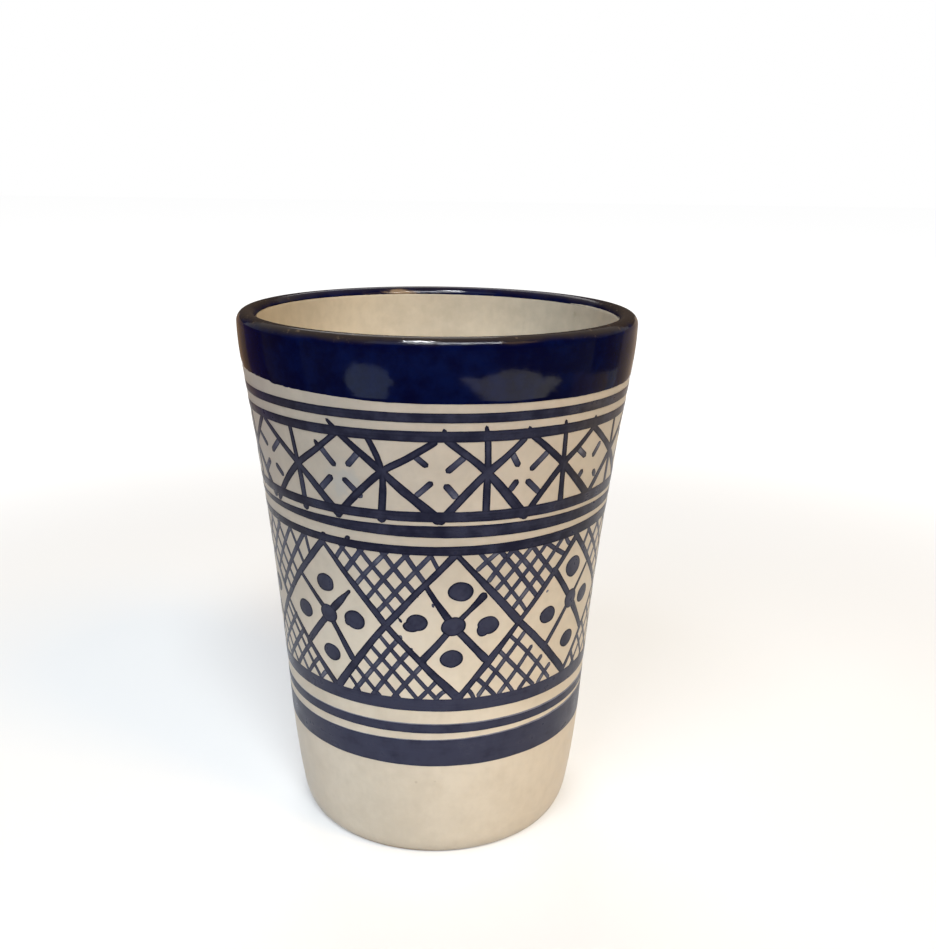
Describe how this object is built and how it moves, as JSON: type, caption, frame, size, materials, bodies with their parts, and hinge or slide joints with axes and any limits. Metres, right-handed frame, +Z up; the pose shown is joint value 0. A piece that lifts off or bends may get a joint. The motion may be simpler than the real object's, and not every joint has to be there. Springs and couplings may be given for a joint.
{
  "type": "earthenware tumbler",
  "caption": "Handle-less earthenware tumbler with a flaring thrown wall, cream glaze, cobalt lip and painted blue bands, diamonds and lozenges, for hot or cold drinks.",
  "frame": {"origin": "middle of the foot, on the surface where the cup stands", "axes": "+Z up along the turning axis, -Y towards the side seen in the picture"},
  "size_m": [0.0818, 0.0818, 0.11],
  "materials": {
    "bare_clay": "matt fired buff-red clay",
    "cream_glaze": "soft gloss cream glaze",
    "lining_glaze": "soft gloss cream glaze",
    "cobalt_glaze": "deep glossy cobalt glaze",
    "blue_paint": "brushed slate-blue colour under gloss"
  },
  "bodies": {
    "root": {"earthenware_body": "bare_clay", "outside_glaze": "cream_glaze", "rim_glaze": "cobalt_glaze", "lining_glaze": "lining_glaze", "rim_line": "blue_paint", "upper_frieze_top_line": "blue_paint", "upper_frieze_foot_line": "blue_paint", "middle_line": "blue_paint", "lower_frieze_top_line": "blue_paint", "lower_frieze_foot_line": "blue_paint", "thin_line": "blue_paint", "broad_band": "blue_paint", "upper_frieze_brushwork": "blue_paint", "lower_frieze_brushwork": "blue_paint", "lozenge_1_top_dot": "blue_paint", "lozenge_1_right_dot": "blue_paint", "lozenge_1_bottom_dot": "blue_paint", "lozenge_1_left_dot": "blue_paint", "lozenge_2_top_dot": "blue_paint", "lozenge_2_right_dot": "blue_paint", "lozenge_2_bottom_dot": "blue_paint", "lozenge_2_left_dot": "blue_paint", "lozenge_3_top_dot": "blue_paint", "lozenge_3_right_dot": "blue_paint", "lozenge_3_bottom_dot": "blue_paint", "lozenge_3_left_dot": "blue_paint", "lozenge_4_top_dot": "blue_paint", "lozenge_4_right_dot": "blue_paint", "lozenge_4_bottom_dot": "blue_paint", "lozenge_4_left_dot": "blue_paint", "lozenge_5_top_dot": "blue_paint", "lozenge_5_right_dot": "blue_paint", "lozenge_5_bottom_dot": "blue_paint", "lozenge_5_left_dot": "blue_paint", "lozenge_6_top_dot": "blue_paint", "lozenge_6_right_dot": "blue_paint", "lozenge_6_bottom_dot": "blue_paint", "lozenge_6_left_dot": "blue_paint", "lozenge_7_top_dot": "blue_paint", "lozenge_7_right_dot": "blue_paint", "lozenge_7_bottom_dot": "blue_paint", "lozenge_7_left_dot": "blue_paint", "lozenge_8_top_dot": "blue_paint", "lozenge_8_right_dot": "blue_paint", "lozenge_8_bottom_dot": "blue_paint", "lozenge_8_left_dot": "blue_paint"}
  },
  "joints": []
}
